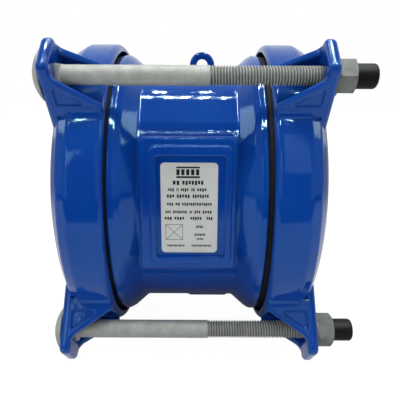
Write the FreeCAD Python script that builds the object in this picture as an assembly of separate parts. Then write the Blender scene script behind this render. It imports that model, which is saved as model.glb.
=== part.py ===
import FreeCAD, Part
import math
import os

from FreeCAD import Vector

# Universal pipe coupling, in millimetres.
# X runs along the pipe, towards the nuts; +Z is up; the middle of the axis is the origin.

# Pipe and sleeve
pipe_radius_max = 78.5
pipe_clearance = 1.0
body_bore_radius = pipe_radius_max + pipe_clearance
barrel_wall = 8.0
barrel_radius = body_bore_radius + barrel_wall
barrel_half = 31.5
flare_width = 9.5
flare_end = barrel_half + flare_width
flare_rise = 8.4
flare_radius = barrel_radius + flare_rise
shoulder_width = 3.5
collar_start = flare_end + shoulder_width
collar_width = 4.2
collar_end = collar_start + collar_width
collar_rise = 2.0
collar_radius = flare_radius + collar_rise
flare_root_rounding = 2.5
flare_rounding = 5.0
collar_rounding = 1.4
seat_lip = 4.5
seat_mouth_radius = collar_radius - seat_lip
seat_ledge = 3.5
seat_inner_radius = body_bore_radius + seat_ledge
seat_depth = 10.2
seat_start = collar_end - seat_depth

# Label pad on the front of the sleeve
pad_half = 30.0
pad_low = -36.0
pad_high = 48.0
pad_rise = 2.5
pad_front = barrel_radius + pad_rise
pad_rounding = 2.4
pad_corner = 3.5
frame_shift = 1.8
frame_half = 24.9
frame_low = -31.8
frame_high = 42.8
frame_rise = 1.6
frame_corner = 4.6
frame_edge = 1.2
frame_root = 0.9
recess_half = 21.4
recess_low = -27.4
recess_high = 37.0
recess_depth = 1.2
recess_corner = 2.6
label_shift = 0.9
label_half = 17.35
label_low = -24.7
label_high = 32.4
label_corner = 2.5
label_thickness = 0.3

# Lifting eye on top and low cast pad underneath
eye_x = 8.5
eye_rise = 3.7
eye_height = barrel_radius + eye_rise
eye_outer_radius = 9.2
eye_hole_radius = 4.1
eye_thickness = 6.4
eye_rounding = 1.8
foot_pad_start = -2.0
foot_pad_end = 29.5
foot_pad_half_width = 21.0
foot_pad_height = 1.0
foot_pad_corner = 3.0

# End ring, drawn for the +X end
rim_gap = 1.6
rim_x = collar_end + rim_gap
skirt_clearance = 2.5
skirt_wall = 5.0
skirt_inner_radius = collar_radius + skirt_clearance
skirt_radius = skirt_inner_radius + skirt_wall
skirt_depth = 25.7
ring_inner_face = rim_x + skirt_depth
ring_web = 9.6
ring_face = ring_inner_face + ring_web
shoulder_setback = 4.5
skirt_end = ring_inner_face - shoulder_setback
ring_bore_radius = body_bore_radius + pipe_clearance
nose_back = 7.5
nose_drop = 3.6
nose_front = 3.0
nose_front_drop = 11.5
face_drop = 19.0
ring_outline = [
    (skirt_end, skirt_radius),
    (ring_face - nose_back, skirt_radius - nose_drop),
    (ring_face - nose_front, skirt_radius - nose_front_drop),
    (ring_face, skirt_radius - face_drop),
]
rim_rounding = 4.4
rim_inner_rounding = 0.5
shoulder_rounding = 4.0
nose_rounding = 3.0
skirt_root_rounding = 1.5
entry_chamfer = 1.5

# The loose end rings and bolts sit a little to the right of the sleeve's middle
end_shift = 0.9

# Lugs on each end ring
lug_count = 4
lug_first_angle = 45.0
bolt_offset = 11.4
bolt_circle_radius = skirt_radius + bolt_offset
lug_setback = 2.5
lug_outer_face = ring_face - lug_setback
lug_thickness = 7.0
lug_inner_face = lug_outer_face - lug_thickness
lug_overhang = 18.4
lug_tip = bolt_circle_radius + lug_overhang
lug_tip_half = 12.0
lug_depth = 21.0
lug_root = skirt_radius - lug_depth
lug_taper = 0.2
lug_corner = 5.0
plate_outer_rounding = 3.0
plate_inner_rounding = 2.4
rib_thickness = 4.4
rib_rise_at_plate = 9.2
rib_top_at_plate = bolt_circle_radius + rib_rise_at_plate
rib_rise_at_rim = 2.8
rib_top_at_rim = skirt_radius + rib_rise_at_rim
rib_rounding = 1.5
rib_curve = 9.0
rib_setback = 0.9
pocket_depth = 1.1
pocket_crest = 4.6
pocket_rise = 3.9
pocket_low = skirt_radius + pocket_rise
pocket_end = lug_inner_face + 0.4
pocket_corner = 1.3
lug_start = rim_x + rib_setback
lug_root_fillet = 4.5
cut_over = 5.0

# Bolts, washers, nuts and thread caps
shank_radius = 5.9
thread_radius = 5.85
thread_length = 94.6
neck_square = 12.2
neck_clearance = 0.4
neck_length = 9.5
neck_corner = 0.8
head_radius = 15.3
head_height = 6.9
head_rim = 1.1
bolt_tail = 11.7
washer_radius = 12.0
washer_bore_radius = 6.5
washer_thickness = 1.6
nut_across_flats = 19.0
nut_height = 10.6
running_clearance = 0.07
cap_radius = 7.25
cap_gap = 0.3
cap_play = 0.2
cap_roof = 1.4
cap_length = bolt_tail - cap_gap + cap_play + cap_roof
cap_rounding = 2.0
nut_face = lug_outer_face + washer_thickness
bolt_end = nut_face + nut_height + bolt_tail
thread_start = bolt_end - thread_length

# Rubber gaskets
gasket_step = 0.5
gasket_bore_radius = body_bore_radius + gasket_step
heel_clearance = 3.4
gasket_heel_radius = skirt_inner_radius - heel_clearance
toe_gap = 2.0
gasket_toe = seat_start + toe_gap
toe_rounding = 1.2
seat_gap = 0.15
lip_depth = 3.2
lip_width = 4.4
lip_pitch = 8.2
lip_setback = 4.0
lip_first = gasket_toe + lip_setback
lip_count = 4

x_axis = Vector(1, 0, 0)
y_axis = Vector(0, 1, 0)
origin = Vector(0, 0, 0)


def revolved(points):
    """Solid of revolution from (x, radius) points, its seam at the back."""
    corners = [Vector(x, r, 0) for x, r in points]
    wire = Part.makePolygon(corners + [corners[0]])
    return Part.Face(wire).revolve(origin, x_axis, 360)


def tube(radius, start, end):
    return Part.makeCylinder(radius, end - start, Vector(start, 0, 0), x_axis)


def circle_edges(shape, places):
    """Round edges about the pipe axis that lie at the given (x, radius) places."""
    found = []
    for edge in shape.Edges:
        curve = edge.Curve
        if curve.TypeId != "Part::GeomCircle":
            continue
        if math.hypot(curve.Center.y, curve.Center.z) > 0.01:
            continue
        for x, radius in places:
            if abs(curve.Center.x - x) < 0.01 and abs(curve.Radius - radius) < 0.01:
                found.append(edge)
    return found


def rounded_block(low, high, corner, axis):
    """Box with its edges along one axis rounded."""
    block = Part.makeBox(high[0] - low[0], high[1] - low[1], high[2] - low[2], Vector(*low))
    edges = []
    for edge in block.Edges:
        direction = edge.Vertexes[1].Point - edge.Vertexes[0].Point
        if abs(abs(direction.normalize().dot(axis)) - 1) < 0.001:
            edges.append(edge)
    return block.makeFillet(corner, edges)


def make_body():
    outline = [
        (barrel_half, barrel_radius),
        (flare_end, flare_radius),
        (collar_start, collar_radius),
        (collar_end, collar_radius),
        (collar_end, seat_mouth_radius),
        (seat_start, seat_inner_radius),
        (seat_start, body_bore_radius),
    ]
    mirrored = [(-x, r) for x, r in reversed(outline)]
    shape = revolved(outline + mirrored)
    for places, radius in (
        ([(barrel_half, barrel_radius), (-barrel_half, barrel_radius)], flare_root_rounding),
        ([(flare_end, flare_radius), (-flare_end, flare_radius)], flare_rounding),
        ([(collar_start, collar_radius), (-collar_start, collar_radius)], collar_rounding),
        ([(collar_end, collar_radius), (-collar_end, collar_radius)], collar_rounding),
    ):
        shape = shape.makeFillet(radius, circle_edges(shape, places))
    shape = shape.fuse(make_label_pad()).fuse(make_eye()).fuse(make_foot_pad())
    shape = shape.cut(tube(body_bore_radius, -seat_start, seat_start))
    shape = shape.cut(make_recess())
    return shape.removeSplitter()


def make_label_pad():
    low = (-pad_half, -pad_front, pad_low)
    high = (pad_half, 0.0, pad_high)
    block = rounded_block(low, high, pad_corner, y_axis)
    block = block.makeFillet(pad_rounding, edges_at_depth(block, pad_front))
    block = block.fuse(make_label_frame())
    root = []
    for edge in edges_at_depth(block, pad_front):
        box = edge.BoundBox
        if box.YLength < 0.01 and abs(box.Center.x - frame_shift) < frame_half + 0.1:
            if frame_low - 0.1 < box.Center.z < frame_high + 0.1:
                root.append(edge)
    block = block.makeFillet(frame_root, root)
    return block.common(tube(pad_front + pad_high, -barrel_half, barrel_half))


def edges_at_depth(shape, depth):
    return [e for e in shape.Edges if all(abs(v.Y + depth) < 0.01 for v in e.Vertexes)]


def make_label_frame():
    """Raised, rounded frame on the pad, round the label's recess."""
    low = (frame_shift - frame_half, -pad_front - frame_rise, frame_low)
    high = (frame_shift + frame_half, -pad_front + 1, frame_high)
    block = rounded_block(low, high, frame_corner, y_axis)
    return block.makeFillet(frame_edge, edges_at_depth(block, pad_front + frame_rise))


def make_recess():
    low = (frame_shift - recess_half, -pad_front - cut_over, recess_low)
    high = (frame_shift + recess_half, -pad_front + recess_depth, recess_high)
    return rounded_block(low, high, recess_corner, y_axis)


def make_eye():
    centre = Vector(eye_x, -eye_thickness / 2, eye_height)
    ring = Part.makeCylinder(eye_outer_radius, eye_thickness, centre, y_axis)
    hole = Part.makeCylinder(eye_hole_radius, eye_thickness, centre, y_axis)
    ring = ring.cut(hole)
    rims = [e for e in ring.Edges if e.Curve.TypeId == "Part::GeomCircle"]
    return ring.makeFillet(eye_rounding, rims)


def make_foot_pad():
    top = -(barrel_radius + foot_pad_height)
    low = (foot_pad_start, -foot_pad_half_width, top)
    high = (foot_pad_end, foot_pad_half_width, -body_bore_radius - 1)
    return rounded_block(low, high, foot_pad_corner, Vector(0, 0, 1))


def make_label():
    back = -pad_front + recess_depth
    low = (label_shift - label_half, back - label_thickness, label_low)
    high = (label_shift + label_half, back, label_high)
    return rounded_block(low, high, label_corner, y_axis)


def lug_half_width(radius):
    return lug_tip_half + (lug_tip - radius) * lug_taper


def lug_plate():
    """Tapered upright plate on the +Z side, rounded all round its free edges."""
    corners = [
        (-lug_half_width(lug_root), lug_root),
        (-lug_tip_half, lug_tip),
        (lug_tip_half, lug_tip),
        (lug_half_width(lug_root), lug_root),
    ]
    points = [Vector(lug_inner_face, y, z) for y, z in corners]
    face = Part.Face(Part.makePolygon(points + [points[0]]))
    plate = face.extrude(Vector(lug_thickness, 0, 0))
    tips = [e for e in plate.Edges if e.BoundBox.XLength > 1 and e.BoundBox.ZMin > lug_tip - 0.01]
    plate = plate.makeFillet(lug_corner, tips)
    for side, radius in ((lug_outer_face, plate_outer_rounding), (lug_inner_face, plate_inner_rounding)):
        rim = []
        for edge in plate.Edges:
            box = edge.BoundBox
            if box.XLength < 0.01 and abs(box.XMin - side) < 0.01 and box.ZMax > lug_root + 1:
                rim.append(edge)
        plate = plate.makeFillet(radius, rim)
    return plate


def lug_rib():
    """Rib under the plate's +Y edge, its crest curving up into the plate."""
    stretch = math.hypot(1, lug_taper)
    low = lug_tip - (lug_tip - lug_root) * stretch
    rim_top = lug_tip - (lug_tip - rib_top_at_rim) * stretch
    plate_top = lug_tip - (lug_tip - rib_top_at_plate) * stretch
    gentle = math.atan2(plate_top - rim_top, lug_inner_face - rim_x)
    steep = math.radians(65)
    bend = Vector(lug_inner_face - 1.5, 0, plate_top - 1.5 * math.tan(gentle))
    along = Vector(math.cos(gentle), 0, math.sin(gentle))
    upward = Vector(math.cos(steep), 0, math.sin(steep))
    run = rib_curve * math.tan((steep - gentle) / 2)
    curve_start = bend - along * run
    curve_end = bend + upward * run
    centre = curve_start + Vector(-along.z, 0, along.x) * rib_curve
    half = (gentle + steep) / 2
    curve_middle = centre + Vector(math.sin(half), 0, -math.cos(half)) * rib_curve
    top = bend + upward * (lug_thickness + 1)
    rim_end = Vector(lug_start, 0, rim_top + (lug_start - rim_x) * math.tan(gentle))
    edges = [
        Part.makeLine(Vector(lug_start, 0, low), rim_end),
        Part.makeLine(rim_end, curve_start),
        Part.Arc(curve_start, curve_middle, curve_end).toShape(),
        Part.makeLine(curve_end, top),
        Part.makeLine(top, Vector(top.x, 0, low)),
        Part.makeLine(Vector(top.x, 0, low), Vector(lug_start, 0, low)),
    ]
    rib = Part.Face(Part.Wire(edges)).extrude(Vector(0, rib_thickness, 0))
    crest = []
    for edge in rib.Edges:
        box = edge.BoundBox
        if box.YLength < 0.01 and box.XLength > 0.5 and box.ZMin > low + 1:
            crest.append(edge)
    rib = rib.makeFillet(rib_rounding, crest)
    slope = math.tan(gentle)
    high = rim_top - pocket_crest + (pocket_end - rim_x) * slope
    floor = lug_tip - (lug_tip - pocket_low) * stretch
    tip = pocket_end - (high - floor) / slope
    rib = rib.cut(rib_pocket((tip, floor), (pocket_end, floor), (pocket_end, high)))
    rib.translate(Vector(0, lug_tip_half - rib_thickness, 0))
    rib.rotate(Vector(0, lug_tip_half, lug_tip), x_axis, math.degrees(math.atan(lug_taper)))
    return rib


def rib_pocket(*corners):
    """Shallow three-cornered pocket for the outer side of a rib."""
    points = [Vector(x, rib_thickness - pocket_depth, z) for x, z in corners]
    face = Part.Face(Part.makePolygon(points + [points[0]]))
    pocket = face.extrude(Vector(0, pocket_depth + 1, 0))
    uprights = [e for e in pocket.Edges if e.BoundBox.YLength > pocket_depth]
    pocket = pocket.makeFillet(pocket_corner, uprights)
    floor = [e for e in pocket.Edges if e.BoundBox.YMax < rib_thickness - pocket_depth + 0.01]
    return pocket.makeFillet(pocket_depth * 0.8, floor)


def lug_foot():
    """Concave fillet along the skirt beside a lug, on its +Y side."""
    stretch = math.hypot(1, lug_taper)
    reach = skirt_radius + lug_root_fillet
    z = reach
    for step in range(20):
        z = math.sqrt(reach ** 2 - (lug_half_width(z) + lug_root_fillet * stretch) ** 2)
    centre = Vector(lug_start, lug_half_width(z) + lug_root_fillet * stretch, z)
    across = Vector(0, centre.y, centre.z).normalize()
    outward = Vector(0, 1, lug_taper).normalize()
    on_skirt = centre - across * lug_root_fillet
    on_lug = centre - outward * lug_root_fillet
    middle = centre - (across + outward).normalize() * lug_root_fillet
    deep = 4.0
    under_skirt = on_skirt - across * deep
    under_lug = Vector(lug_start, on_lug.y - deep, under_skirt.z)
    edges = [
        Part.Arc(on_skirt, middle, on_lug).toShape(),
        Part.makeLine(on_lug, under_lug),
        Part.makeLine(under_lug, under_skirt),
        Part.makeLine(under_skirt, on_skirt),
    ]
    foot = Part.Face(Part.Wire(edges)).extrude(Vector(skirt_end - lug_start + 2, 0, 0))
    limit = revolved([
        (lug_start, skirt_radius - 3 * deep),
        (lug_start, skirt_radius - 0.4),
        (lug_start + 5, reach),
        (skirt_end - 4, reach),
        (skirt_end + 2, skirt_radius - 1),
        (skirt_end + 2, skirt_radius - 3 * deep),
    ])
    return foot.common(limit)


def make_lug():
    lug = lug_plate()
    for piece in (lug_rib(), lug_foot()):
        lug = lug.fuse(piece).fuse(piece.mirror(origin, y_axis))
    return lug.cut(tube(skirt_radius - 2, 0, ring_inner_face + 2))


def bolt_place(index):
    angle = math.radians(lug_first_angle + index * 360.0 / lug_count)
    return -bolt_circle_radius * math.cos(angle), bolt_circle_radius * math.sin(angle)


def ring_profile():
    return [
        (rim_x, skirt_inner_radius),
        (rim_x, skirt_radius),
        *ring_outline,
        (ring_face, ring_bore_radius),
        (ring_inner_face, ring_bore_radius),
        (ring_inner_face, skirt_inner_radius),
    ]


def make_ring():
    """End ring of the +X end, with its lugs."""
    shape = revolved(ring_profile())
    for places, radius in (
        ([(rim_x, skirt_radius)], rim_rounding),
        ([(rim_x, skirt_inner_radius)], rim_inner_rounding),
        (ring_outline[:1], shoulder_rounding),
        (ring_outline[1:3], nose_rounding),
        ([(ring_inner_face, skirt_inner_radius)], skirt_root_rounding),
    ):
        shape = shape.makeFillet(radius, circle_edges(shape, places))
    mouth = circle_edges(shape, [(ring_face, ring_bore_radius)])
    shape = shape.makeChamfer(entry_chamfer, mouth)
    lug = make_lug()
    for index in range(lug_count):
        turned = lug.copy()
        turned.rotate(origin, x_axis, lug_first_angle + index * 360.0 / lug_count)
        shape = shape.fuse(turned)
    shape = shape.removeSplitter()
    half = neck_square / 2 + neck_clearance
    for index in range(lug_count):
        y, z = bolt_place(index)
        low = (ring_inner_face - cut_over, y - half, z - half)
        high = (lug_outer_face + cut_over, y + half, z + half)
        shape = shape.cut(rounded_block(low, high, neck_corner, x_axis))
    return shape


def make_gasket(end):
    """Rubber gasket of the +X end: a wedge in the sleeve's seat and a heel against the ring."""
    slope = (seat_mouth_radius - seat_inner_radius) / (collar_end - seat_start)
    drop = seat_gap * math.hypot(1, slope)
    toe_radius = seat_inner_radius + (gasket_toe - seat_start) * slope - drop
    points = [
        (gasket_toe, gasket_bore_radius),
        (gasket_toe, toe_radius),
        (collar_end, seat_mouth_radius - drop),
        (collar_end, gasket_heel_radius),
        (end, gasket_heel_radius),
        (end, gasket_bore_radius),
    ]
    shape = revolved(points)
    shape = shape.makeFillet(toe_rounding, circle_edges(shape, [(gasket_toe, toe_radius)]))
    for index in range(lip_count):
        start = lip_first + index * lip_pitch
        groove = tube(gasket_bore_radius + lip_depth, start, start + lip_width)
        shape = shape.cut(groove)
    return shape


def make_bolt(index):
    y, z = bolt_place(index)
    under = -lug_outer_face
    rise = head_height - head_rim
    dome_radius = (head_radius ** 2 + rise ** 2) / (2 * rise)
    centre = under - head_height + dome_radius
    dome = Part.makeSphere(dome_radius, Vector(centre, 0, 0))
    head = tube(head_radius, under - head_height, under).common(dome)
    half = neck_square / 2
    low = (under, -half, -half)
    high = (under + neck_length, half, half)
    neck = rounded_block(low, high, neck_corner, x_axis)
    shank = tube(shank_radius, under, thread_start)
    thread = tube(thread_radius, thread_start, bolt_end)
    tip = [e for e in thread.Edges if abs(e.BoundBox.XMin - bolt_end) < 0.01]
    thread = thread.makeChamfer(0.9, tip)
    bolt = head.fuse(neck).fuse(shank).fuse(thread)
    bolt.translate(Vector(end_shift, y, z))
    return bolt


def make_washer(index):
    y, z = bolt_place(index)
    end = lug_outer_face + washer_thickness
    washer = tube(washer_radius, lug_outer_face, end)
    outer = [e for e in washer.Edges if abs(e.BoundBox.XMin - end) < 0.01]
    washer = washer.makeChamfer(0.3, outer)
    washer = washer.cut(tube(washer_bore_radius, lug_outer_face, end))
    washer.translate(Vector(end_shift, y, z))
    return washer


def make_nut(index):
    y, z = bolt_place(index)
    start = nut_face
    corner = nut_across_flats / math.sqrt(3)
    points = []
    for side in range(7):
        angle = math.radians(60 * side)
        points.append(Vector(start, corner * math.cos(angle), corner * math.sin(angle)))
    prism = Part.Face(Part.makePolygon(points)).extrude(Vector(nut_height, 0, 0))
    land = nut_across_flats / 2 - 0.25
    rise = (corner - land) * math.tan(math.radians(30))
    end = start + nut_height
    turned = revolved([
        (start, 0),
        (start, land),
        (start + rise, corner),
        (end - rise, corner),
        (end, land),
        (end, 0),
    ])
    bore_radius = thread_radius + running_clearance
    nut = prism.common(turned).cut(tube(bore_radius, start, end))
    mouths = []
    for edge in nut.Edges:
        box = edge.BoundBox
        if abs(box.ZLength - 2 * bore_radius) < 0.01 and box.XLength < 0.01:
            mouths.append(edge)
    nut = nut.makeChamfer(0.6, mouths)
    nut.translate(Vector(end_shift, y, z))
    return nut


def make_cap(index):
    y, z = bolt_place(index)
    start = nut_face + nut_height + cap_gap
    end = start + cap_length
    cap = tube(cap_radius, start, end)
    crown = [e for e in cap.Edges if abs(e.BoundBox.XMin - end) < 0.01]
    cap = cap.makeFillet(cap_rounding, crown)
    cap = cap.cut(tube(thread_radius + running_clearance, start, end - cap_roof))
    cap.translate(Vector(end_shift, y, z))
    return cap


def turned_round(shape):
    """The same casting for the other end: half a turn about the upright axis."""
    other = shape.copy()
    other.rotate(origin, Vector(0, 0, 1), 180)
    return other


def moved_along(shape):
    other = shape.copy()
    other.translate(Vector(end_shift, 0, 0))
    return other


pieces = {"body": make_body(), "label": make_label()}
ring = make_ring()
pieces["end_ring_right"] = moved_along(ring)
pieces["end_ring_left"] = moved_along(turned_round(ring))
pieces["gasket_right"] = make_gasket(ring_inner_face + end_shift)
pieces["gasket_left"] = turned_round(make_gasket(ring_inner_face - end_shift))
for number in range(lug_count):
    pieces[f"bolt_{number + 1}"] = make_bolt(number)
    pieces[f"washer_{number + 1}"] = make_washer(number)
    pieces[f"nut_{number + 1}"] = make_nut(number)
    pieces[f"cap_{number + 1}"] = make_cap(number)

os.makedirs("parts", exist_ok=True)
for name, shape in pieces.items():
    box = shape.BoundBox
    print(
        name, shape.isValid(), len(shape.Solids), round(shape.Volume / 1000, 2),
        [round(v, 2) for v in (box.XMin, box.XMax, box.YMin, box.YMax, box.ZMin, box.ZMax)],
    )
    shape.exportStep(f"parts/{name}.step")
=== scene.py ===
import bmesh
import bpy
import math
from mathutils import Matrix, Vector


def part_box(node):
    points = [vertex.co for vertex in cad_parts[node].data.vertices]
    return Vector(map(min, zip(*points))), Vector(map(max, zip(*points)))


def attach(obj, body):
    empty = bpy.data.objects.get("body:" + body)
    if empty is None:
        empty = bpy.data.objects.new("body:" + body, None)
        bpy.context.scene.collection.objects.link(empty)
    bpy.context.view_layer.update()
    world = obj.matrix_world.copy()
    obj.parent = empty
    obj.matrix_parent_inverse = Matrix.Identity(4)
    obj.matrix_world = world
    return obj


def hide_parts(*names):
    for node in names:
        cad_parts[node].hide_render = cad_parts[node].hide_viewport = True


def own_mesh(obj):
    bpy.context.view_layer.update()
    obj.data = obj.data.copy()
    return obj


# Universal pipe coupling, in metres: X along the pipe towards the nuts, Z up, -Y out of the label.

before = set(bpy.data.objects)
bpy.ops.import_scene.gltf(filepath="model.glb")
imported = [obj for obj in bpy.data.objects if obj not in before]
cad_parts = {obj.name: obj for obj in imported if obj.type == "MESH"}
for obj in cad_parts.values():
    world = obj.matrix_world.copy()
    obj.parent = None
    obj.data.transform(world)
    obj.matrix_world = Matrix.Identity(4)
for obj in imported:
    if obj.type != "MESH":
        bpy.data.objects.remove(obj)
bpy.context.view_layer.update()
scene = bpy.context.scene
mm = 0.001
xAxis = Vector((1, 0, 0))
numbers = range(1, 5)  # of the bolts, and of their washers, nuts and caps
print("frame loaded:", len(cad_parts), "nodes")


# helpers

def newObject(name, bm, material, body=None):
    mesh = bpy.data.meshes.new(name)
    bm.to_mesh(mesh)
    bm.free()
    obj = bpy.data.objects.new(name, mesh)
    scene.collection.objects.link(obj)
    obj.data.materials.append(material)
    if body:
        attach(obj, body)
    return obj


def smoothByAngle(bm, degrees):
    for face in bm.faces:
        face.smooth = True
    for edge in bm.edges:
        if len(edge.link_faces) == 2 and edge.calc_face_angle(0) > math.radians(degrees):
            edge.smooth = False


def spunProfile(bm, points, steps, centre=Vector((0, 0, 0))):
    chain = [bm.verts.new(centre + Vector((x, 0, r))) for x, r in points]
    edges = [bm.edges.new(pair) for pair in zip(chain, chain[1:])]
    bmesh.ops.spin(bm, geom=chain + edges, cent=centre, axis=xAxis, angle=math.tau, steps=steps,
                   use_merge=True)
    bmesh.ops.remove_doubles(bm, verts=bm.verts, dist=1e-6)


# shader groups: blotches gives slow patches mixed with fine specks, from 0 to 1

def newGroup(name, inputs, outputs):
    group = bpy.data.node_groups.new(name, "ShaderNodeTree")
    for label, kind, value in inputs:
        socket = group.interface.new_socket(name=label, in_out="INPUT", socket_type=kind)
        if value is not None:
            socket.default_value = value
    for label, kind in outputs:
        group.interface.new_socket(name=label, in_out="OUTPUT", socket_type=kind)
    return group, group.nodes.new("NodeGroupInput"), group.nodes.new("NodeGroupOutput")


def buildBlotches():
    group, inputs, outputs = newGroup(
        "blotches",
        [("Vector", "NodeSocketVector", None), ("Patch Scale", "NodeSocketFloat", 40.0),
         ("Speck Scale", "NodeSocketFloat", 900.0), ("Speck Share", "NodeSocketFloat", 0.3)],
        [("Value", "NodeSocketFloat")])
    patch = group.nodes.new("ShaderNodeTexNoise")
    patch.inputs["Detail"].default_value = 4
    speck = group.nodes.new("ShaderNodeTexNoise")
    speck.inputs["Detail"].default_value = 2
    mix = group.nodes.new("ShaderNodeMix")
    for node, scale in ((patch, "Patch Scale"), (speck, "Speck Scale")):
        group.links.new(inputs.outputs["Vector"], node.inputs["Vector"])
        group.links.new(inputs.outputs[scale], node.inputs["Scale"])
    group.links.new(inputs.outputs["Speck Share"], mix.inputs[0])
    group.links.new(patch.outputs[0], mix.inputs[2])
    group.links.new(speck.outputs[0], mix.inputs[3])
    group.links.new(mix.outputs[0], outputs.inputs["Value"])
    return group


blotches = buildBlotches()


def newMaterial(name):
    material = bpy.data.materials.new(name)
    material.use_nodes = True
    nodes = material.node_tree.nodes
    return material, nodes, material.node_tree.links, nodes["Principled BSDF"]


def addBlotches(nodes, links, coordinates, patchScale, speckScale, speckShare):
    node = nodes.new("ShaderNodeGroup")
    node.node_tree = blotches
    links.new(coordinates.outputs["Object"], node.inputs["Vector"])
    node.inputs["Patch Scale"].default_value = patchScale
    node.inputs["Speck Scale"].default_value = speckScale
    node.inputs["Speck Share"].default_value = speckShare
    return node


def addRamp(nodes, links, source, stops):
    ramp = nodes.new("ShaderNodeValToRGB")
    for element, (place, colour) in zip(ramp.color_ramp.elements, stops):
        element.position = place
        element.color = (*colour, 1)
    links.new(source, ramp.inputs["Fac"])
    return ramp


noiseRange = (0.3, 0.7)  # nearly all of a noise lies between these


def addRange(nodes, links, source, low, high):
    node = nodes.new("ShaderNodeMapRange")
    node.inputs["From Min"].default_value, node.inputs["From Max"].default_value = noiseRange
    node.inputs["To Min"].default_value = low
    node.inputs["To Max"].default_value = high
    links.new(source, node.inputs["Value"])
    return node


def addBump(nodes, links, height, distance, strength, shader):
    bump = nodes.new("ShaderNodeBump")
    bump.inputs["Distance"].default_value = distance
    bump.inputs["Strength"].default_value = strength
    links.new(height, bump.inputs["Height"])
    links.new(bump.outputs["Normal"], shader.inputs["Normal"])
    return bump


def addMath(nodes, links, operation, *values):
    node = nodes.new("ShaderNodeMath")
    node.operation = operation
    for socket, value in zip(node.inputs, values):
        if isinstance(value, (int, float)):
            socket.default_value = value
        else:
            links.new(value, socket)
    return node.outputs["Value"]


def addStep(nodes, links, source, start, end, top):
    node = nodes.new("ShaderNodeMapRange")
    node.interpolation_type = "SMOOTHSTEP"
    node.inputs["From Min"].default_value = start
    node.inputs["From Max"].default_value = end
    node.inputs["To Max"].default_value = top
    links.new(source, node.inputs["Value"])
    return node.outputs["Result"]


# materials

def startMaterial(name, look):
    material, nodes, links, shader = newMaterial(name)
    coordinates = nodes.new("ShaderNodeTexCoord")
    blotch = addBlotches(nodes, links, coordinates, look["patchScale"], look["speckScale"],
                         look["speckShare"])
    tone = blotch.outputs["Value"]
    ramp = addRamp(nodes, links, tone, look["ramp"])
    links.new(ramp.outputs["Color"], shader.inputs["Base Color"])
    gloss = addRange(nodes, links, tone, *look["roughness"])
    links.new(gloss.outputs["Result"], shader.inputs["Roughness"])
    return material, nodes, links, shader, tone


epoxy = {
    "ramp": [(0.35, (0.002, 0.032, 0.222)), (0.65, (0.003, 0.043, 0.255))], "shine": (0.5, 0.93, 1.0, 1),
    "patchScale": 26.0, "speckScale": 700.0, "speckShare": 0.12, "roughness": (0.03, 0.055),
    "rippleScale": 190.0, "rippleDepth": 0.00007, "pebbleScale": 620.0, "pebbleDepth": 0.000025,
    "edgeRadius": 0.0014, "edgeSamples": 8,
}


def makeEpoxy():
    material, nodes, links, shader, _ = startMaterial("blueEpoxy", epoxy)
    coordinates = nodes.new("ShaderNodeTexCoord")
    ripple = addBlotches(nodes, links, coordinates, epoxy["rippleScale"], epoxy["pebbleScale"], 0.0)
    pebble = addBlotches(nodes, links, coordinates, epoxy["pebbleScale"], epoxy["pebbleScale"], 0.0)
    broad = addBump(nodes, links, ripple.outputs["Value"], epoxy["rippleDepth"], 1.0, shader)
    fine = addBump(nodes, links, pebble.outputs["Value"], epoxy["pebbleDepth"], 1.0, shader)
    links.new(broad.outputs["Normal"], fine.inputs["Normal"])
    flow = nodes.new("ShaderNodeBevel")  # thick coating softens the casting's edges
    flow.samples = epoxy["edgeSamples"]
    flow.inputs["Radius"].default_value = epoxy["edgeRadius"]
    links.new(flow.outputs["Normal"], broad.inputs["Normal"])
    shader.inputs["Specular Tint"].default_value = epoxy["shine"]
    return material


# the groove entries paint shade into the thread's roots
zinc = {
    "patchScale": 160.0, "speckScale": 1100.0, "speckShare": 0.3, "roughness": (0.72, 0.58),
    "bumpDepth": 0.00004, "bumpStrength": 0.35, "metallic": 0.1, "specular": 0.32,
    "grooveRange": (0.2, 0.9), "grooveShare": 0.72,
}
# the groove colours are painted shade for the thread's roots
boltZinc = {**zinc, "ramp": [(0.3, (0.22, 0.226, 0.208)), (0.68, (0.33, 0.337, 0.312))],
            "groove": (0.04, 0.042, 0.038)}
nutZinc = {**zinc, "ramp": [(0.3, (0.085, 0.09, 0.081)), (0.68, (0.165, 0.172, 0.156))],
           "groove": (0.03, 0.03, 0.03)}


def makeZinc(name, look):
    material, nodes, links, shader, tone = startMaterial(name, look)
    clean = shader.inputs["Base Color"].links[0].from_socket
    groove = nodes.new("ShaderNodeAttribute")  # painted shade: darker at the bottom of the thread
    groove.attribute_name = "groove"
    depth = addStep(nodes, links, groove.outputs["Fac"], *look["grooveRange"], look["grooveShare"])
    paintedShade = nodes.new("ShaderNodeMix")
    paintedShade.data_type = "RGBA"
    paintedShade.inputs["B"].default_value = (*look["groove"], 1)
    links.new(depth, paintedShade.inputs["Factor"])
    links.new(clean, paintedShade.inputs["A"])
    links.new(paintedShade.outputs["Result"], shader.inputs["Base Color"])
    addBump(nodes, links, tone, look["bumpDepth"], look["bumpStrength"], shader)
    shader.inputs["Metallic"].default_value = look["metallic"]
    shader.inputs["Specular IOR Level"].default_value = look["specular"]
    return material


black = {"speckScale": 1800.0, "speckShare": 0.4, "bumpStrength": 0.4, "specular": 0.12}
plastic = {**black, "ramp": [(0.3, (0.004,) * 3), (0.72, (0.007,) * 3)], "roughness": (0.53, 0.39),
           "patchScale": 300.0, "bumpDepth": 0.00006}
rubber = {**black, "ramp": [(0.3, (0.006,) * 3), (0.72, (0.013,) * 3)], "roughness": (0.68, 0.54),
          "patchScale": 200.0, "bumpDepth": 0.0001}
ink = {**black, "ramp": [(0.3, (0.008,) * 3), (0.72, (0.014,) * 3)], "roughness": (0.58, 0.44),
       "patchScale": 200.0, "bumpDepth": 0.00001}


def makeBlack(name, look):
    material, nodes, links, shader, tone = startMaterial(name, look)
    addBump(nodes, links, tone, look["bumpDepth"], look["bumpStrength"], shader)
    shader.inputs["Specular IOR Level"].default_value = look["specular"]
    return material


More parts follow.
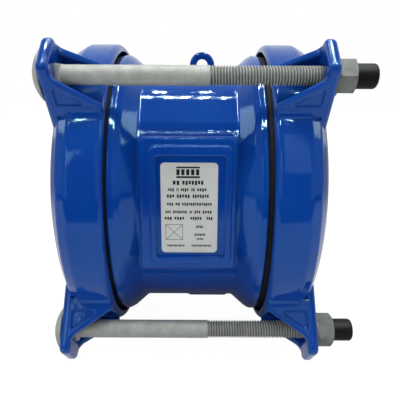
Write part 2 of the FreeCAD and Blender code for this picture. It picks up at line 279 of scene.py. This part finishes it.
film = {
    "ramp": [(0.3, (0.43, 0.43, 0.405)), (0.7, (0.48, 0.48, 0.455))], "patchScale": 60.0,
    "speckScale": 1200.0, "speckShare": 0.2, "roughness": (0.42, 0.3),
}


epoxyMaterial = makeEpoxy()
zincMaterial = makeZinc("zincSteel", boltZinc)
nutMaterial = makeZinc("nutZinc", nutZinc)
capMaterial = makeBlack("capPlastic", plastic)
rubberMaterial = makeBlack("gasketRubber", rubber)
filmMaterial = startMaterial("labelFilm", film)[0]
inkMaterial = makeBlack("labelInk", ink)
print("materials made")


# castings, nuts, washers and caps keep their CAD shapes

def dressNode(name, material):
    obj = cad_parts[name]
    obj.data.materials.clear()
    obj.data.materials.append(material)


for name in ("body", "end_ring_left", "end_ring_right"):
    dressNode(name, epoxyMaterial)
for number in numbers:
    dressNode(f"nut_{number}", nutMaterial)
    dressNode(f"washer_{number}", nutMaterial)
    dressNode(f"cap_{number}", capMaterial)


# bolts with rolled threads

bolt = {
    "headHeight": 6.9, "headRadius": 15.25, "headRim": 1.1, "headSteps": 12,
    "underRise": 0.5, "underInset": 0.35, "neckLength": 9.5, "neck": 12.2, "neckSunk": 0.5, "neckRound": 0.7,
    "shankRadius": 5.88, "runOut": 0.5, "threadLength": 94.6, "crest": 5.84, "root": 4.7, "pitch": 1.75,
    "tip": 1.1, "tipSlope": 0.9, "threadSteps": 28, "roundSteps": 56, "smoothAngle": 32, "weld": 2e-6,
    # shares along one pitch, and up from the root to the crest
    "flank": [(0, 0), (0.1, 0), (0.27, 0.5), (0.44, 1), (0.6, 1), (0.77, 0.5), (0.94, 0), (1, 0)],
}


def addHead(bm, centre, head, under):
    rise = bolt["headHeight"] - bolt["headRim"]
    sphere = (bolt["headRadius"] ** 2 + rise ** 2) / (2 * rise)
    points = []
    for step in range(bolt["headSteps"] + 1):
        radius = bolt["headRadius"] * step / bolt["headSteps"]
        points.append((head + sphere - math.sqrt(sphere ** 2 - radius ** 2), radius))
    points.append((under - bolt["underRise"], bolt["headRadius"]))
    points.append((under, bolt["headRadius"] - bolt["underInset"]))
    points.append((under, 0))
    spunProfile(bm, [(x * mm, r * mm) for x, r in points], bolt["roundSteps"], centre)


def addNeck(bm, centre, under):
    length = bolt["neckLength"] + bolt["neckSunk"]
    middle = under - bolt["neckSunk"] + length / 2
    size = Matrix.Diagonal((length * mm, bolt["neck"] * mm, bolt["neck"] * mm, 1))
    place = Matrix.Translation(centre + Vector((middle * mm, 0, 0)))
    cube = bmesh.ops.create_cube(bm, size=1, matrix=place @ size)
    edges = {edge for vert in cube["verts"] for edge in vert.link_edges}
    bmesh.ops.bevel(bm, geom=list(edges), offset=bolt["neckRound"] * mm, affect="EDGES", segments=3,
                    profile=0.5, material=-1)


def addShank(bm, centre, under, start):
    radius, taper = bolt["shankRadius"], bolt["runOut"]
    points = [(under, 0), (under, radius), (start - taper, radius), (start + taper, bolt["root"]),
              (start + taper, 0)]
    spunProfile(bm, [(x * mm, r * mm) for x, r in points], bolt["roundSteps"], centre)


def addThread(bm, centre, start, end):
    pitch, steps, root = bolt["pitch"], bolt["threadSteps"], bolt["root"]
    height = bolt["crest"] - root
    turns = math.ceil(bolt["threadLength"] / pitch) + 2
    first = start - pitch
    flank = [((first + along * pitch) * mm, (root + up * height) * mm) for along, up in bolt["flank"]]
    chain = [bm.verts.new(centre + Vector((x, 0, r))) for x, r in flank]
    edges = [bm.edges.new(pair) for pair in zip(chain, chain[1:])]
    bmesh.ops.spin(bm, geom=chain + edges, cent=centre, axis=xAxis, dvec=xAxis * (pitch / steps * mm),
                   angle=math.tau * turns, steps=steps * turns)
    bmesh.ops.remove_doubles(bm, verts=bm.verts, dist=bolt["weld"])
    for place, side in ((start, -1), (end, 1)):
        plane = centre + Vector((place * mm, 0, 0))
        cut = bmesh.ops.bisect_plane(bm, geom=bm.verts[:] + bm.edges[:] + bm.faces[:], dist=1e-7,
                                     plane_co=plane, plane_no=xAxis * side, clear_outer=True)
        rim = [item for item in cut["geom_cut"] if isinstance(item, bmesh.types.BMEdge)]
        bmesh.ops.edgeloop_fill(bm, edges=rim)
    for vert in bm.verts:
        past = vert.co.x / mm - (end - bolt["tip"])
        if past > 0:
            limit = (bolt["crest"] - bolt["tipSlope"] * past) * mm
            arm = Vector((0, vert.co.y - centre.y, vert.co.z - centre.z))
            if arm.length > limit:
                vert.co -= arm * (1 - limit / arm.length)
    groove = bm.verts.layers.float.new("groove")  # 0 at the crest and 1 at the root, read by the zinc to paint shade in the thread's roots
    for vert in bm.verts:
        radius = math.hypot(vert.co.y - centre.y, vert.co.z - centre.z) / mm
        vert[groove] = min(1, max(0, (bolt["crest"] - radius) / height))


def makeBolt(number):
    low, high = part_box(f"bolt_{number}")
    centre = Vector((0, (low.y + high.y) / 2, (low.z + high.z) / 2))
    head, end = low.x / mm, high.x / mm
    under, start = head + bolt["headHeight"], end - bolt["threadLength"]
    parts = [(addThread, start, end), (addHead, head, under), (addNeck, under), (addShank, under, start)]
    bm = bmesh.new()
    for addPart, *places in parts:
        part = bmesh.new()
        addPart(part, centre, *places)
        mesh = bpy.data.meshes.new("boltPart")
        part.to_mesh(mesh)
        part.free()
        bm.from_mesh(mesh)
        bpy.data.meshes.remove(mesh)
    bmesh.ops.recalc_face_normals(bm, faces=bm.faces)
    smoothByAngle(bm, bolt["smoothAngle"])
    obj = newObject(f"bolt{number}", bm, zincMaterial, "left_end")
    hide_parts(f"bolt_{number}")


for number in numbers:
    makeBolt(number)
print("bolts made")


# gaskets

gasket = {
    "bore": 80.0, "toeRadius": 84.8, "toeRound": 0.8, "toeSlope": (1.0, 1.2), "mouth": 48.7,
    "mouthRadius": 93.15, "mouthStep": 0.1, "mouthCorner": 0.8, "heelPlay": 0.05, "corner": 1.0,
    "lips": 4, "lipStart": 4.0, "lipPitch": 8.2, "lipWidth": 4.4, "lipDepth": 3.2, "lipTaper": 0.4,
    "travel": 8.0, "roundSteps": 128, "smoothAngle": 30,
}


def makeGasket(side, sign):
    low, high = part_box(f"gasket_{side}")
    toe, end = sorted((abs(low.x) / mm, abs(high.x) / mm))
    heel = (high.z - low.z) / 2 / mm - gasket["heelPlay"]
    bore, mouth, corner, taper = gasket["bore"], gasket["mouth"], gasket["corner"], gasket["lipTaper"]
    slopeLength, slopeRise = gasket["toeSlope"]
    face, mouthCorner = mouth + gasket["mouthStep"], gasket["mouthCorner"]
    points = [(toe + gasket["toeRound"], bore), (toe, bore + gasket["toeRound"]),
              (toe, gasket["toeRadius"] - slopeRise), (toe + slopeLength, gasket["toeRadius"]),
              (mouth, gasket["mouthRadius"]), (face, heel - mouthCorner), (face + mouthCorner, heel),
              (end - corner, heel), (end, heel - corner), (end, bore + corner), (end - corner, bore)]
    for number in reversed(range(gasket["lips"])):
        start = toe + gasket["lipStart"] + number * gasket["lipPitch"]
        stop = start + gasket["lipWidth"]
        deep = bore + gasket["lipDepth"]
        points += [(stop, bore), (stop - taper, deep), (start + taper, deep), (start, bore)]
    points.append(points[0])
    bm = bmesh.new()
    spunProfile(bm, [(x * sign * mm, r * mm) for x, r in points], gasket["roundSteps"])
    bmesh.ops.recalc_face_normals(bm, faces=bm.faces)
    smoothByAngle(bm, gasket["smoothAngle"])
    obj = newObject(f"gasket{side.title()}", bm, rubberMaterial, "sleeve")
    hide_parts(f"gasket_{side}")
    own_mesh(obj)


makeGasket("left", -1)
makeGasket("right", 1)
print("gaskets made")


# label with rows of plain bars

label = {
    "corner": 2.5, "inkDepth": 0.03, "printOut": 0.01, "diagramOut": 0.012,
    "letterPitch": 0.68, "letterShare": 0.7, "letterDrops": (0.0, 0.22, 0.1),
    "rows": [  # depth below the top edge, height, and the start and end of each word
        (11.0, 2.7, [(7.5, 12.0), (13.2, 26.4)]),
        (15.7, 2.1, [(4.6, 8.4), (9.6, 11.0), (12.2, 17.2), (18.6, 21.0), (22.2, 28.2)]),
        (19.6, 2.3, [(3.8, 8.6), (9.8, 18.0), (19.4, 29.6)]),
        (24.8, 2.0, [(3.8, 7.8), (9.0, 12.0), (13.0, 31.4)]),
        (29.8, 1.9, [(2.8, 6.2), (7.4, 16.2), (17.6, 19.4), (20.6, 24.4), (25.6, 31.4)]),
        (33.8, 2.1, [(2.2, 7.0), (8.2, 14.6), (18.0, 25.2), (28.0, 32.0)]),
        (39.4, 1.7, [(21.6, 26.0)]),
        (44.6, 1.7, [(20.6, 27.6)]),
        (47.6, 1.3, [(22.0, 26.4)]),
        (51.9, 1.5, [(3.6, 14.6), (18.8, 31.2)]),
    ],
    "emblem": {"left": 9.6, "right": 23.8, "lines": [(8.2, 9.4), (2.4, 3.4)], "bars": 5, "pitch": 2.95,
               "width": 2.0, "top": 4.0, "bottom": 7.6},
    "diagram": {"left": 2.6, "right": 13.4, "top": 38.6, "bottom": 48.8, "line": 0.28, "cross": 14.2,
                "turn": 0.76},
}


def addBar(bm, x0, x1, z0, z1, front, depth):
    size = Matrix.Diagonal(((x1 - x0) * mm, depth * mm, (z1 - z0) * mm, 1))
    place = Vector(((x0 + x1) / 2 * mm, front, (z0 + z1) / 2 * mm))
    bmesh.ops.create_cube(bm, size=1, matrix=Matrix.Translation(place) @ size)


def makeLabel():
    low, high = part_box("label")
    bm = bmesh.new()
    size = Matrix.Diagonal((high.x - low.x, high.y - low.y, high.z - low.z, 1))
    bmesh.ops.create_cube(bm, size=1, matrix=Matrix.Translation((low + high) / 2) @ size)
    upright = [edge for edge in bm.edges if abs((edge.verts[0].co - edge.verts[1].co).y) > 1e-5]
    bmesh.ops.bevel(bm, geom=upright, offset=label["corner"] * mm, affect="EDGES", segments=8,
                    profile=0.5, material=-1)
    obj = newObject("label", bm, filmMaterial, "sleeve")
    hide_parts("label")
    return low, high


def makePrint(low, high):
    bm = bmesh.new()
    front = low.y + label["printOut"] * mm
    left, top, thick = low.x / mm, high.z / mm, label["inkDepth"]
    for depth, height, words in label["rows"]:
        for start, end in words:
            letters = max(2, round((end - start) / (height * label["letterPitch"])))
            step = (end - start) / letters
            for letter in range(letters):
                x0 = left + start + letter * step
                x1 = x0 + step * label["letterShare"]
                drop = label["letterDrops"][(letter + round(depth)) % 3] * height
                addBar(bm, x0, x1, top - depth - height + drop, top - depth, front, thick)
    emblem = label["emblem"]
    for upper, lower in emblem["lines"]:
        addBar(bm, left + emblem["left"], left + emblem["right"], top - lower, top - upper, front, thick)
    for column in range(emblem["bars"]):
        x0 = left + emblem["left"] + column * emblem["pitch"]
        addBar(bm, x0, x0 + emblem["width"], top - emblem["bottom"], top - emblem["top"], front, thick)
    obj = newObject("labelPrint", bm, inkMaterial, "sleeve")


def makeDiagram(low, high):
    bm = bmesh.new()
    front = low.y + label["diagramOut"] * mm
    left, top, thick = low.x / mm, high.z / mm, label["inkDepth"]
    diagram = label["diagram"]
    x0, x1 = left + diagram["left"], left + diagram["right"]
    z0, z1 = top - diagram["bottom"], top - diagram["top"]
    line = diagram["line"]
    for a, b in ((x0, x0 + line), (x1 - line, x1)):
        addBar(bm, a, b, z0, z1, front, thick)
    for a, b in ((z0, z0 + line), (z1 - line, z1)):
        addBar(bm, x0, x1, a, b, front, thick)
    middle = Vector(((x0 + x1) / 2 * mm, front, (z0 + z1) / 2 * mm))
    for angle in (diagram["turn"], -diagram["turn"]):
        size = Matrix.Diagonal((diagram["cross"] * mm, thick * mm, line * mm, 1))
        turn = Matrix.Rotation(angle, 4, "Y")
        bmesh.ops.create_cube(bm, size=1, matrix=Matrix.Translation(middle) @ turn @ size)
    obj = newObject("labelDiagram", bm, inkMaterial, "sleeve")


labelLow, labelHigh = makeLabel()
makePrint(labelLow, labelHigh)
makeDiagram(labelLow, labelHigh)
print("label made")


# floor, light and camera

floor = {
    "height": -105.4, "size": 3.0, "roughness": 0.9, "specular": 0.1,
    # as the camera and soft light see it
    "tone": 0.93, "bounce": 0.75, "glow": 0.88, "white": 1.1,
    # as the coating mirrors it: up to its front edge, with a painted shadow under the coupling and painted
    # dimming at the rear
    "shine": 0.78, "paperFront": 0.42, "paperFade": 0.03, "paintedShade": 0.1, "paintedShadeRange": (0.003, 0.016),
    "rear": 0.35, "rearRange": (0.1, 0.4),
}


def makeFloorPaper():
    material, nodes, links, shader = newMaterial("floorPaper")
    shader.inputs["Roughness"].default_value = floor["roughness"]
    shader.inputs["Specular IOR Level"].default_value = floor["specular"]
    path = nodes.new("ShaderNodeLightPath")
    direct = path.outputs["Is Camera Ray"]
    tone = addMath(nodes, links, "MULTIPLY_ADD", direct, floor["tone"] - floor["bounce"], floor["bounce"])
    links.new(tone, shader.inputs["Base Color"])
    shine = addMath(nodes, links, "ADD", path.outputs["Is Glossy Ray"], path.outputs["Is Transmission Ray"])
    split = nodes.new("ShaderNodeSeparateXYZ")
    coordinates = nodes.new("ShaderNodeTexCoord")
    links.new(coordinates.outputs["Object"], split.inputs["Vector"])
    front = -floor["paperFront"]
    paper = addStep(nodes, links, split.outputs["Y"], front - floor["paperFade"], front, floor["shine"])
    acrossSquared = addMath(nodes, links, "MULTIPLY", split.outputs["X"], split.outputs["X"])
    alongSquared = addMath(nodes, links, "MULTIPLY", split.outputs["Y"], split.outputs["Y"])
    away = addMath(nodes, links, "ADD", acrossSquared, alongSquared)
    # painted shadow: the mirrored floor is darker near the coupling
    clear = addStep(nodes, links, away, *floor["paintedShadeRange"], 1 - floor["paintedShade"])
    clear = addMath(nodes, links, "ADD", clear, floor["paintedShade"])
    # painted dimming: the mirrored floor is dimmer towards the rear
    rear = addStep(nodes, links, split.outputs["Y"], *floor["rearRange"], floor["rear"] - 1)
    rear = addMath(nodes, links, "ADD", rear, 1)
    reflected = addMath(nodes, links, "MULTIPLY", paper, clear)
    reflected = addMath(nodes, links, "MULTIPLY", reflected, rear)
    reflected = addMath(nodes, links, "MULTIPLY", reflected, shine)
    glow = nodes.new("ShaderNodeEmission")
    strength = addMath(nodes, links, "MULTIPLY_ADD", direct, floor["white"], reflected)
    links.new(strength, glow.inputs["Strength"])
    seen = addMath(nodes, links, "MULTIPLY_ADD", direct, floor["glow"], shine)
    mix = nodes.new("ShaderNodeMixShader")
    links.new(seen, mix.inputs["Fac"])
    links.new(shader.outputs["BSDF"], mix.inputs[1])
    links.new(glow.outputs["Emission"], mix.inputs[2])
    links.new(mix.outputs["Shader"], nodes["Material Output"].inputs["Surface"])
    return material


def makeFloor():
    bm = bmesh.new()
    place = Matrix.Translation((0, 0, floor["height"] * mm))
    bmesh.ops.create_grid(bm, x_segments=1, y_segments=1, size=floor["size"], matrix=place)
    obj = newObject("floor", bm, makeFloorPaper())


room = {
    "front": 0.05, "side": 0.35, "sideRange": (0.4, 0.95), "top": 0.16, "topRange": (0.3, 0.95), "back": 0.6,
    "backRange": (0.1, 0.8), "tint": (0.72, 0.93, 1.0, 1),
}


def makeWorld():
    world = bpy.data.worlds.new("studio")
    world.use_nodes = True
    scene.world = world
    nodes, links = world.node_tree.nodes, world.node_tree.links
    coordinates = nodes.new("ShaderNodeTexCoord")
    split = nodes.new("ShaderNodeSeparateXYZ")
    links.new(coordinates.outputs["Generated"], split.inputs["Vector"])
    across = addMath(nodes, links, "ABSOLUTE", split.outputs["X"])
    side = addStep(nodes, links, across, *room["sideRange"], room["side"])
    top = addStep(nodes, links, split.outputs["Z"], *room["topRange"], room["top"])
    back = addStep(nodes, links, split.outputs["Y"], *room["backRange"], room["back"])
    level = addMath(nodes, links, "ADD", side, top)
    level = addMath(nodes, links, "MAXIMUM", level, back)
    level = addMath(nodes, links, "ADD", level, room["front"])
    walls = nodes["Background"]
    walls.inputs["Color"].default_value = room["tint"]
    links.new(level, walls.inputs["Strength"])
    white = nodes.new("ShaderNodeBackground")
    white.inputs["Color"].default_value = (1, 1, 1, 1)
    path = nodes.new("ShaderNodeLightPath")
    shine = addMath(nodes, links, "ADD", path.outputs["Is Glossy Ray"], path.outputs["Is Transmission Ray"])
    behind = addMath(nodes, links, "MULTIPLY", shine, back)
    seen = addMath(nodes, links, "ADD", path.outputs["Is Camera Ray"], behind)
    mix = nodes.new("ShaderNodeMixShader")
    links.new(seen, mix.inputs["Fac"])
    links.new(walls.outputs["Background"], mix.inputs[1])
    links.new(white.outputs["Background"], mix.inputs[2])
    links.new(mix.outputs["Shader"], nodes["World Output"].inputs["Surface"])


lamps = {
    # name, place, size and watts, seen by soft light only
    "soft": [
        ("overhead", (0.1, -0.1, 1.3), (1.0, 0.8), 21.0), ("front", (-0.3, -1.3, 0.6), (1.2, 0.9), 8.5),
        ("right", (1.2, -0.5, 0.5), (0.8, 0.8), 3.0), ("left", (-1.3, -0.2, 0.5), (0.8, 0.8), 5.0),
        ("back", (0.3, 1.3, 0.4), (1.2, 0.9), 5.0),
    ],
    # name, place, size and brightness, seen by gloss only
    "panels": [
        ("panelRight", (1.24, 0.1, 0.84), (0.75, 0.39), 3.5),
        ("panelLeft", (-1.24, 0.1, 0.84), (0.75, 0.39), 3.0),
        ("windowLeft", (-0.63, -1.2, 0.72), (0.35, 0.32), 2.2),
        ("wallLeft", (-0.68, -1.2, 0.28), (0.45, 0.55), 0.6),
        ("windowRight", (0.35, -1.2, 0.82), (0.15, 0.75), 0.75),
        ("wallRight", (0.72, -1.2, 0.3), (0.5, 0.65), 0.45),
    ],
    # name, size, brightness and places of small ones at one height, seen by gloss only
    "spots": [
        ("row", (0.01, 0.03), 330.0,
         [(-0.26, 0.16), (-0.2, 0.155), (-0.141, 0.153), (-0.081, 0.153), (-0.029, 0.153), (0.021, 0.153),
          (0.075, 0.153), (0.13, 0.156), (0.19, 0.16), (0.25, 0.16), (-0.108, 0.287), (0.02, 0.287)]),
        ("ledge", (0.01, 0.045), 320.0,
         [(-0.27, -0.53), (-0.16, -0.535), (-0.095, -0.525), (-0.035, -0.53), (0.04, -0.535), (0.125, -0.53),
          (0.25, -0.53)]),
        ("strip", (0.04, 0.018), 450.0,
         [(side, 0.3 - 0.085 * step) for side in (-0.325, 0.29) for step in range(11)]),
        ("cluster", (0.02, 0.03), 350.0,
         [(-0.43, -0.6), (-0.385, -0.56), (-0.345, -0.61), (-0.295, -0.55), (0.18, -0.59), (0.23, -0.56),
          (0.28, -0.61), (0.33, -0.55), (0.38, -0.6), (0.43, -0.57)]),
    ],
    "spotHeight": 1.0,
}


def addLamp(name, place, size, watts, diffuse, glossy):
    light = bpy.data.lights.new(name, "AREA")
    light.shape = "RECTANGLE"
    light.size, light.size_y = size
    light.energy = watts
    obj = bpy.data.objects.new(name, light)
    scene.collection.objects.link(obj)
    obj.location = place
    obj.rotation_euler = (-Vector(place)).to_track_quat("-Z", "Y").to_euler()
    obj.visible_camera = False
    obj.visible_diffuse = diffuse
    obj.visible_glossy = glossy


def makeLamps():
    for name, place, size, watts in lamps["soft"]:
        addLamp(name, place, size, watts, True, False)
    for name, place, size, level in lamps["panels"]:
        addLamp(name, place, size, level * math.pi * size[0] * size[1], False, True)
    for name, size, level, places in lamps["spots"]:
        watts = level * math.pi * size[0] * size[1]
        for number, (x, y) in enumerate(places, 1):
            addLamp(f"{name}{number}", (x, y, lamps["spotHeight"]), size, watts, False, True)


camera = {"place": (7.45, -351.8, 79.6), "down": 14.958, "roll": 0.276, "lens": 40.14, "sensor": 36,
          "clip": 10}


def makeCamera():
    data = bpy.data.cameras.new("camera")
    data.lens = camera["lens"]
    data.sensor_width = camera["sensor"]
    data.clip_start = camera["clip"] * mm
    obj = bpy.data.objects.new("camera", data)
    scene.collection.objects.link(obj)
    obj.location = Vector(camera["place"]) * mm
    tilt = Matrix.Rotation(math.radians(90 - camera["down"]), 4, "X")
    roll = Matrix.Rotation(math.radians(camera["roll"]), 4, "Z")
    obj.rotation_euler = (tilt @ roll).to_euler()
    scene.camera = obj


makeFloor()
makeWorld()
makeLamps()
makeCamera()
scene.view_settings.view_transform = "Standard"
print("studio made")
